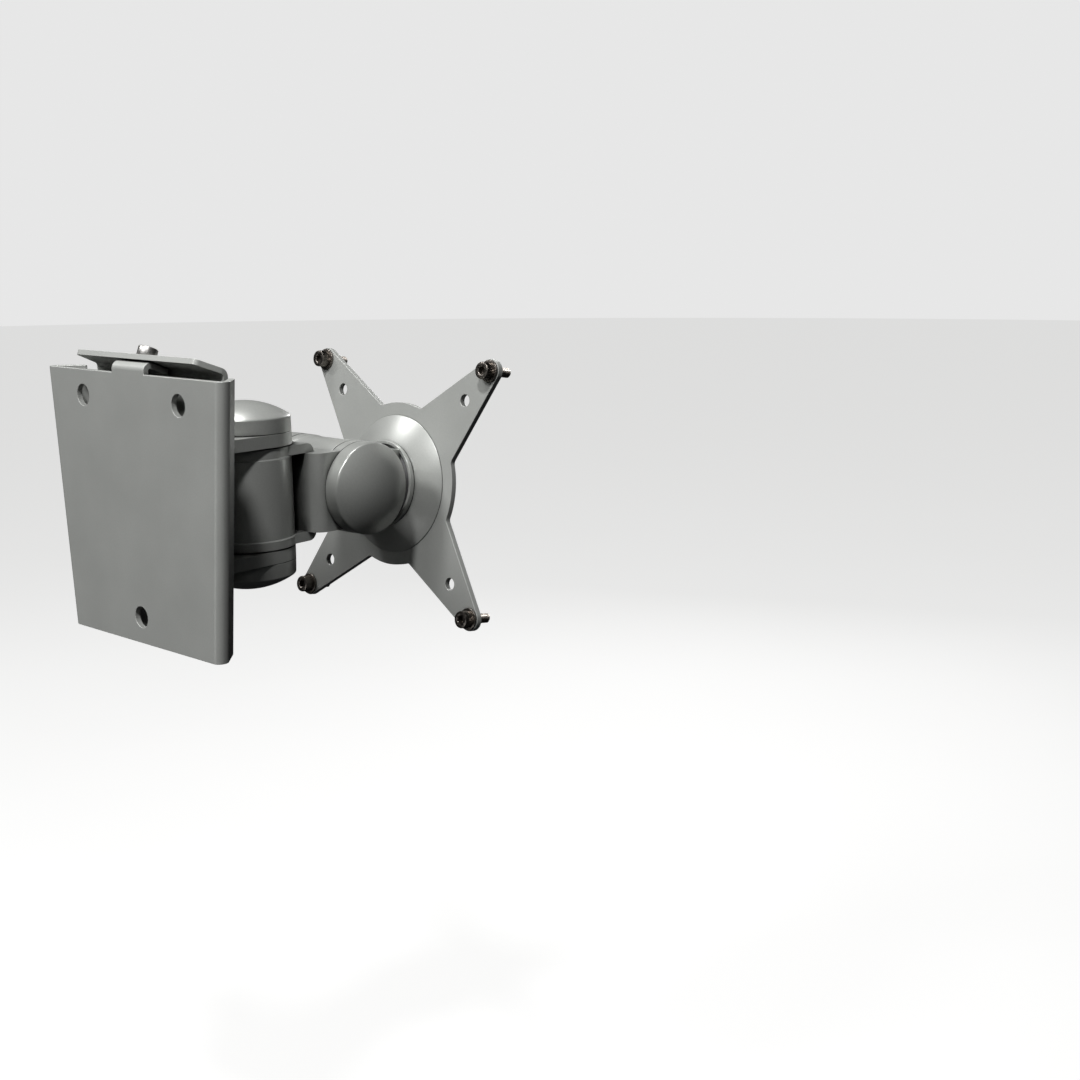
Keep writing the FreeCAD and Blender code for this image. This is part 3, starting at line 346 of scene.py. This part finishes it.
def make_vesa_screw(number, side, material):
    """One knurled screw that holds the monitor on the plate."""
    head_top, tip = reach("vesa_screws", TILT, HUB_AXIS)
    seat = head_top + VESA_HEAD_HIGH
    plain_long = MOUNT_BACK - seat
    bm = bmesh.new()
    socket_screw(bm, place(TILT + PATTERN_R * side + HUB_AXIS * seat, -HUB_AXIS),
                 (VESA_HEAD_R, VESA_HEAD_HIGH), (VESA_SHANK_R, tip - seat), VESA_ACROSS, VESA_SOCKET,
                 knurled=True, plain_long=plain_long, plain_r=VESA_NECK_R)
    return crisp(add_piece(f"vesa_screw_{number}", bm, "vesa_screws", material))


LOCK_HEAD_R = 3.6 * MM
LOCK_SHANK_R = 2.0 * MM
LOCK_ACROSS = 3.0 * MM
LOCK_SOCKET = 2.0 * MM


def make_lock_screw(material):
    """The screw that draws the lip down on the tab."""
    low, high = reach("lock_screw", LOCK, LOCK_AXIS)
    bm = bmesh.new()
    socket_screw(bm, place(LOCK, LOCK_AXIS), (LOCK_HEAD_R, high), (LOCK_SHANK_R, -low),
                 LOCK_ACROSS, LOCK_SOCKET)
    return crisp(add_piece("lock_screw_fine", bm, "lock_screw", material))


YOKE_HEAD_R = 4.6 * MM
YOKE_HEAD_HIGH = 2.7 * MM
YOKE_SHANK_R = 2.5 * MM
YOKE_ACROSS = 3.0 * MM
YOKE_SOCKET = 1.6 * MM


def make_yoke_screw(number, x, z, material):
    """One of the screws that hold the yoke on the slide plate, its head on the wall side."""
    low, high = (Vector(corner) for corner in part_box("yoke_screws"))
    centre = high.x - YOKE_HEAD_R
    seat = low.y + YOKE_HEAD_HIGH
    bm = bmesh.new()
    socket_screw(bm, place(Vector((x * centre, seat, z * centre)), -AWAY),
                 (YOKE_HEAD_R, YOKE_HEAD_HIGH), (YOKE_SHANK_R, high.y - seat),
                 YOKE_ACROSS, YOKE_SOCKET)
    return crisp(add_piece(f"yoke_screw_{number}", bm, "yoke_screws", material))


HUB_SCREW_OUT = 22.0 * MM
HUB_HEAD_R = 2.9 * MM
HUB_HEAD_HIGH = 1.6 * MM
HUB_SHANK_R = 1.5 * MM
HUB_ACROSS = 2.0 * MM
HUB_SOCKET = 0.9 * MM


def make_hub_screw(number, side, material):
    """One low screw that holds the plate on the cone, its head at the plate's back."""
    tip, head_top = reach("hub_screws", TILT, HUB_AXIS)
    seat = head_top - HUB_HEAD_HIGH
    bm = bmesh.new()
    socket_screw(bm, place(TILT + HUB_SCREW_OUT * side + HUB_AXIS * seat, HUB_AXIS),
                 (HUB_HEAD_R, HUB_HEAD_HIGH), (HUB_SHANK_R, seat - tip), HUB_ACROSS, HUB_SOCKET)
    return crisp(add_piece(f"hub_screw_{number}", bm, "hub_screws", material))


TURN_HEAD_R = 7.5 * MM
TURN_HEAD_HIGH = 2.5 * MM
TURN_SHANK_R = 4.0 * MM
TURN_ACROSS = 5.0 * MM
TURN_SOCKET = 1.6 * MM


def make_rotation_screw(material):
    """The screw on the hub's axis that the plate turns round."""
    tip, head_top = reach("rotation_screw", TILT, HUB_AXIS)
    seat = head_top - TURN_HEAD_HIGH
    bm = bmesh.new()
    socket_screw(bm, place(TILT + HUB_AXIS * seat, HUB_AXIS), (TURN_HEAD_R, TURN_HEAD_HIGH),
                 (TURN_SHANK_R, seat - tip), TURN_ACROSS, TURN_SOCKET)
    return crisp(add_piece("rotation_screw_fine", bm, "rotation_screw", material))


# ---------------------------------------------------------------- finishes

EDGE_FROM, EDGE_FULL = 0.985, 0.90      # cosines where an edge starts and is full
EDGE_SAMPLES = 4
# Limits of the painted shade mask, which darkens gaps and corners by ambient occlusion.
PAINTED_SHADE_FULL, PAINTED_SHADE_FROM = 0.35, 0.8    # openness where a hollow is full and starts
PAINTED_SHADE_SAMPLES = 6


class Finish:
    """A node material built step by step, in the object's own metres."""

    def __init__(self, name, metallic):
        self.material = bpy.data.materials.new(name)
        self.material.use_nodes = True
        self.tree = self.material.node_tree
        self.shader = self.tree.nodes["Principled BSDF"]
        self.shader.inputs["Metallic"].default_value = metallic
        self.coords = self.tree.nodes.new("ShaderNodeTexCoord").outputs["Object"]

    def add(self, kind, links=(), **settings):
        """A node with its settings, its inputs linked or set by name or number."""
        node = self.tree.nodes.new(kind)
        for key, setting in settings.items():
            setattr(node, key, setting)
        for socket, source in links:
            if isinstance(source, bpy.types.NodeSocket):
                self.tree.links.new(source, node.inputs[socket])
            else:
                node.inputs[socket].default_value = source
        return node

    def noise(self, grain, detail=3.0, stretch=(1, 1, 1)):
        """Noise whose grain is that many metres across."""
        mapping = self.add("ShaderNodeMapping", [("Vector", self.coords), ("Scale", stretch)])
        cloud = self.add("ShaderNodeTexNoise", [("Vector", mapping.outputs[0]),
                                                ("Scale", 1 / grain), ("Detail", detail)])
        return cloud.outputs["Fac"]

    def ramp(self, source, low, high, to_low, to_high):
        """The source's range low to high stretched to another range, and clamped."""
        node = self.add("ShaderNodeMapRange", [("Value", source), ("From Min", low),
                                               ("From Max", high), ("To Min", to_low),
                                               ("To Max", to_high)])
        return node.outputs[0]

    def math(self, operation, first, second):
        """Two values joined by an operation."""
        node = self.add("ShaderNodeMath", [(0, first), (1, second)], operation=operation)
        return node.outputs[0]

    def edges(self, radius):
        """1 where the surface turns sharply within the radius, 0 on flat ground."""
        bevel = self.add("ShaderNodeBevel", [("Radius", radius)], samples=EDGE_SAMPLES)
        true = self.add("ShaderNodeNewGeometry").outputs["Normal"]
        dot = self.add("ShaderNodeVectorMath", [(0, bevel.outputs[0]), (1, true)],
                       operation="DOT_PRODUCT")
        return self.ramp(dot.outputs["Value"], EDGE_FROM, EDGE_FULL, 0.0, 1.0)

    def painted_shade_mask(self, distance):
        """Painted shade mask: 1 in the open, 0 deep in a gap or a corner, where the colour gets painted shade."""
        shade = self.add("ShaderNodeAmbientOcclusion", [("Distance", distance)],
                         samples=PAINTED_SHADE_SAMPLES)
        return self.ramp(shade.outputs["AO"], PAINTED_SHADE_FULL, PAINTED_SHADE_FROM, 0.0, 1.0)

    def mix(self, factor, first, second):
        """One colour or the other by a factor."""
        node = self.add("ShaderNodeMix", [("Factor", factor)], data_type="RGBA")
        for socket, source in (("A", first), ("B", second)):
            target = next(s for s in node.inputs if s.name == socket and s.type == "RGBA")
            if isinstance(source, bpy.types.NodeSocket):
                self.tree.links.new(source, target)
            else:
                target.default_value = (*source, 1)
        return next(s for s in node.outputs if s.type == "RGBA")

    def finish(self, color, roughness, height, depth):
        """Plug in the colour, the roughness and the bump, and give the material."""
        bump = self.add("ShaderNodeBump", [("Height", height), ("Distance", depth),
                                           ("Strength", 1.0)])
        for socket, source in (("Base Color", color), ("Roughness", roughness),
                               ("Normal", bump.outputs[0])):
            self.tree.links.new(source, self.shader.inputs[socket])
        return self.material


def tone(color, factor):
    """The colour made lighter or darker."""
    return tuple(channel * factor for channel in color)


LOW, HIGH = 0.3, 0.7            # the part of a noise's range that shows
CLOUD = 24 * MM
WEAR_PATCH = 3 * MM
WEAR_WIDE = 0.45 * MM
WEAR_LEAST, WEAR_MOST = 0.08, 0.22
PEEL_TINT = 0.25
CLOUD_DARK, CLOUD_LIGHT = 0.95, 1.05
PEEL_TONE = 0.80
WORN_TONE = 1.45
# The painted shade's tone deep in a gap or a corner.
PAINTED_SHADE_TONE = 0.10
CLOUD_ROUGH = 0.01
PEEL_ROUGH = 0.03


def satin_paint(name, color, metallic, roughness, grain, depth, gap):
    """Satin paint: fine orange peel, faint clouding, thin wear along the edges, and painted shade that darkens
    gaps and corners.

    grain and depth are the orange peel's, and gap is how wide a hollow may be and still get painted shade."""
    look = Finish(name, metallic)
    clouds = look.noise(CLOUD, detail=4.0)
    speckle = look.noise(grain, detail=2.0)
    broken = look.noise(WEAR_PATCH, detail=5.0)
    body = look.mix(look.ramp(clouds, LOW, HIGH, 0.0, 1.0), tone(color, CLOUD_DARK),
                    tone(color, CLOUD_LIGHT))
    grained = look.mix(look.ramp(speckle, 0.35, 0.65, 0.0, PEEL_TINT), body,
                       tone(color, PEEL_TONE))
    patches = look.ramp(broken, 0.35, 0.70, WEAR_LEAST, WEAR_MOST)
    worn = look.math("MULTIPLY", look.edges(WEAR_WIDE), patches)
    bare = look.mix(worn, grained, tone(color, WORN_TONE))
    # Painted shade: the colour falls to a tenth of itself in gaps and corners.
    base = look.mix(look.painted_shade_mask(gap), tone(color, PAINTED_SHADE_TONE), bare)
    slow = look.ramp(clouds, LOW, HIGH, roughness - CLOUD_ROUGH, roughness + CLOUD_ROUGH)
    rough = look.math("ADD", slow, look.ramp(speckle, LOW, HIGH, -PEEL_ROUGH, PEEL_ROUGH))
    return look.finish(base, rough, speckle, depth)


SCRATCH = 0.6 * MM
TARNISH = 2.5 * MM
TARNISH_MOST = 0.6
TARNISH_TONE = 0.68
TARNISH_ROUGH = 0.08
POLISH_WIDE = 0.25 * MM
POLISH_TONE = 1.25
SCRATCH_SMOOTH, SCRATCH_ROUGH = 0.05, 0.07


def plated(name, color, roughness, stretch, depth):
    """Plated steel: drawn scratches, a little tarnish and brighter edges."""
    look = Finish(name, 1.0)
    scratches = look.noise(SCRATCH, detail=4.0, stretch=stretch)
    tarnish = look.noise(TARNISH, detail=4.0)
    dull = look.ramp(tarnish, 0.35, HIGH, 0.0, TARNISH_MOST)
    body = look.mix(dull, color, tone(color, TARNISH_TONE))
    base = look.mix(look.edges(POLISH_WIDE), body, tone(color, POLISH_TONE))
    drawn = look.ramp(scratches, LOW, HIGH, roughness - SCRATCH_SMOOTH, roughness + SCRATCH_ROUGH)
    rough = look.math("ADD", drawn, look.ramp(tarnish, 0.4, HIGH, 0.0, TARNISH_ROUGH))
    return look.finish(base, rough, scratches, depth)


MOULD_GRAIN = 0.35 * MM
MOULD_DEPTH = 0.01 * MM
MOULD_TONE = 1.6
MOULD_SMOOTH, MOULD_ROUGH = 0.42, 0.58


def polymer(name, color):
    """Black bearing polymer with a fine moulded grain."""
    look = Finish(name, 0.0)
    grain = look.noise(MOULD_GRAIN, detail=3.0)
    base = look.mix(look.ramp(grain, LOW, HIGH, 0.0, 1.0), color, tone(color, MOULD_TONE))
    rough = look.ramp(grain, LOW, HIGH, MOULD_SMOOTH, MOULD_ROUGH)
    return look.finish(base, rough, grain, MOULD_DEPTH)


FLOOR_CLOUD = 400 * MM
FLOOR_DEPTH = 0.01 * MM
FLOOR_DARK, FLOOR_LIGHT = (0.30, 0.30, 0.30), (0.32, 0.32, 0.32)
FLOOR_GLOW = (0.72, 0.72, 0.715, 1)
FLOOR_SMOOTH, FLOOR_ROUGH = 0.7, 0.8


def floor_paint():
    """Plain pale studio floor."""
    look = Finish("studio_floor", 0.0)
    clouds = look.noise(FLOOR_CLOUD, detail=3.0)
    base = look.mix(look.ramp(clouds, LOW, HIGH, 0.0, 1.0), FLOOR_DARK, FLOOR_LIGHT)
    look.shader.inputs["Emission Color"].default_value = FLOOR_GLOW
    look.shader.inputs["Emission Strength"].default_value = 1.0
    rough = look.ramp(clouds, LOW, HIGH, FLOOR_SMOOTH, FLOOR_ROUGH)
    return look.finish(base, rough, clouds, FLOOR_DEPTH)


SHEET_GREY = (0.44, 0.45, 0.43)
CASTING_GREY = (0.445, 0.455, 0.435)
CAP_GREY = (0.41, 0.42, 0.40)
NICKEL = (0.58, 0.57, 0.55)
SPRING_STEEL = (0.35, 0.34, 0.33)
DARK_NICKEL = (0.23, 0.21, 0.19)
BLACK = (0.03, 0.03, 0.03)

# gap sets how far the painted shade in gaps and corners reaches on each finish.
FINISHES = {
    "painted_sheet": satin_paint("painted_sheet", SHEET_GREY, metallic=0.20, roughness=0.42,
                                 grain=0.5 * MM, depth=0.003 * MM, gap=8 * MM),
    "painted_casting": satin_paint("painted_casting", CASTING_GREY, metallic=0.35, roughness=0.33,
                                   grain=0.7 * MM, depth=0.006 * MM, gap=7 * MM),
    "painted_cap": satin_paint("painted_cap", CAP_GREY, metallic=0.34, roughness=0.32,
                               grain=0.9 * MM, depth=0.004 * MM, gap=3 * MM),
    "bright_steel": plated("bright_nickel", NICKEL, roughness=0.36, stretch=(1, 1, 0.1),
                           depth=0.0008 * MM),
    "spring_steel": plated("oiled_spring_steel", SPRING_STEEL, roughness=0.34,
                           stretch=(1, 0.2, 1), depth=0.004 * MM),
    "dark_nickel": plated("dark_nickel", DARK_NICKEL, roughness=0.30, stretch=(0.2, 1, 0.2),
                          depth=0.002 * MM),
    "bush_polymer": polymer("bush_polymer", BLACK),
}

for node, part in NODES.items():
    part.data.materials.clear()
    part.data.materials.append(FINISHES[SLOT_OF[node]])


# ---------------------------------------------------------------- the arm

SHEET_EDGE = 0.35 * MM
CASTING_EDGE = 0.45 * MM

for node, width in (("wall_receiver", SHEET_EDGE), ("slide_plate", SHEET_EDGE),
                    ("vesa_plate", SHEET_EDGE), ("base_yoke", CASTING_EDGE),
                    ("link_casting", CASTING_EDGE), ("head_casting", CASTING_EDGE)):
    refined(node, FINISHES[SLOT_OF[node]], width)
for node, joint_at, axis in (("swivel_cap_top", SWIVEL, UP), ("swivel_cap_bottom", SWIVEL, -UP),
                             ("tilt_cap_right", TILT, RIGHT), ("tilt_cap_left", TILT, -RIGHT)):
    make_cap(node, joint_at, axis, FINISHES["painted_cap"])
make_hub_cone(FINISHES["painted_casting"])
# A black disc in the neck's recess is painted shade, drawn in the black polymer finish.
make_neck_painted_shade(FINISHES["bush_polymer"])
make_lock_screw(FINISHES["bright_steel"])
make_rotation_screw(FINISHES["bright_steel"])
CORNERS = [(x, z) for x in (-1, 1) for z in (-1, 1)]
for number, (x, z) in enumerate(CORNERS, start=1):
    diagonal = (x * RIGHT + z * HUB_UP).normalized()
    make_vesa_screw(number, diagonal, FINISHES["dark_nickel"])
    make_vesa_washer(number, diagonal, FINISHES["dark_nickel"])
    make_yoke_screw(number, x, z, FINISHES["bright_steel"])
for number, side in enumerate((RIGHT, HUB_UP, -RIGHT, -HUB_UP), start=1):
    make_hub_screw(number, side, FINISHES["bright_steel"])


# ---------------------------------------------------------------- stage, light, camera

CAMERA_AT = Vector((475.5, -305.4, 97.2)) * MM
YAW, PITCH, ROLL = (math.radians(angle) for angle in (42.27, 11.24, -0.37))
SENSOR = 36.0
LENS = 51.03
NEAREST = 10 * MM


def add_camera():
    """The camera, at the photographer's place."""
    ahead = Vector((-math.sin(YAW) * math.cos(PITCH), math.cos(YAW) * math.cos(PITCH),
                    -math.sin(PITCH)))
    level = Vector((math.cos(YAW), math.sin(YAW), 0))
    down = ahead.cross(level)
    across = math.cos(ROLL) * level - math.sin(ROLL) * down
    below = math.sin(ROLL) * level + math.cos(ROLL) * down
    data = bpy.data.cameras.new("camera")
    data.sensor_width = SENSOR
    data.lens = LENS
    data.clip_start = NEAREST
    view = bpy.data.objects.new("camera", data)
    bpy.context.scene.collection.objects.link(view)
    turned = Matrix((across, -below, -ahead)).transposed().to_4x4()
    view.matrix_world = Matrix.Translation(CAMERA_AT) @ turned
    bpy.context.scene.camera = view


LAMP_AWAY = 1.2


def softbox(name, azimuth, elevation, size, power):
    """A round lamp that faces the arm. Azimuth 0 is straight out from the wall side."""
    target = (Vector(cad_box[0]) + Vector(cad_box[1])) / 2
    azimuth, elevation = math.radians(azimuth), math.radians(elevation)
    toward = Vector((math.sin(azimuth) * math.cos(elevation),
                     -math.cos(azimuth) * math.cos(elevation), math.sin(elevation)))
    data = bpy.data.lights.new(name, "AREA")
    data.shape = "DISK"
    data.size = size
    data.energy = power
    lamp = bpy.data.objects.new(name, data)
    bpy.context.scene.collection.objects.link(lamp)
    lamp.location = target + toward * LAMP_AWAY
    lamp.rotation_euler = toward.to_track_quat("Z", "Y").to_euler()


ROOM_TINT = (0.85, 0.88, 0.92, 1)
ROOM_LIGHT = 0.014
BACKDROP = (0.80, 0.80, 0.80, 1)


def add_world():
    """A dim room round the arm, seen by the camera as a pale backdrop."""
    world = bpy.data.worlds.new("studio")
    bpy.context.scene.world = world
    world.use_nodes = True
    tree = world.node_tree
    dim = tree.nodes["Background"]
    dim.inputs["Color"].default_value = ROOM_TINT
    dim.inputs["Strength"].default_value = ROOM_LIGHT
    backdrop = tree.nodes.new("ShaderNodeBackground")
    backdrop.inputs["Color"].default_value = BACKDROP
    path = tree.nodes.new("ShaderNodeLightPath")
    blend = tree.nodes.new("ShaderNodeMixShader")
    tree.links.new(path.outputs["Is Camera Ray"], blend.inputs[0])
    tree.links.new(dim.outputs[0], blend.inputs[1])
    tree.links.new(backdrop.outputs[0], blend.inputs[2])
    tree.links.new(blend.outputs[0], tree.nodes["World Output"].inputs["Surface"])


FLOOR_R = 8.0
FLOOR_BELOW = 0.35
FLOOR_SIDES = 96


def add_floor():
    """A wide pale floor below the arm."""
    bm = bmesh.new()
    bmesh.ops.create_circle(bm, cap_ends=True, segments=FLOOR_SIDES, radius=FLOOR_R)
    bmesh.ops.translate(bm, verts=bm.verts, vec=(0, 0, -FLOOR_BELOW))
    mesh = bpy.data.meshes.new("floor")
    bm.to_mesh(mesh)
    bm.free()
    mesh.materials.append(floor_paint())
    floor = bpy.data.objects.new("floor", mesh)
    bpy.context.scene.collection.objects.link(floor)
    floor.visible_diffuse = False
    floor.visible_glossy = False


add_camera()
softbox("key", azimuth=40, elevation=55, size=0.13, power=9.2)
softbox("right", azimuth=50, elevation=22, size=0.25, power=0.4)
softbox("front", azimuth=0, elevation=40, size=0.20, power=5.4)
softbox("left", azimuth=-50, elevation=37, size=0.16, power=2.9)
softbox("low", azimuth=-20, elevation=-14, size=0.40, power=0.7)
softbox("top", azimuth=-90, elevation=75, size=0.30, power=8.0)
softbox("back", azimuth=205, elevation=14, size=0.40, power=3.0)
add_world()
add_floor()
bpy.context.scene.view_settings.view_transform = "Standard"
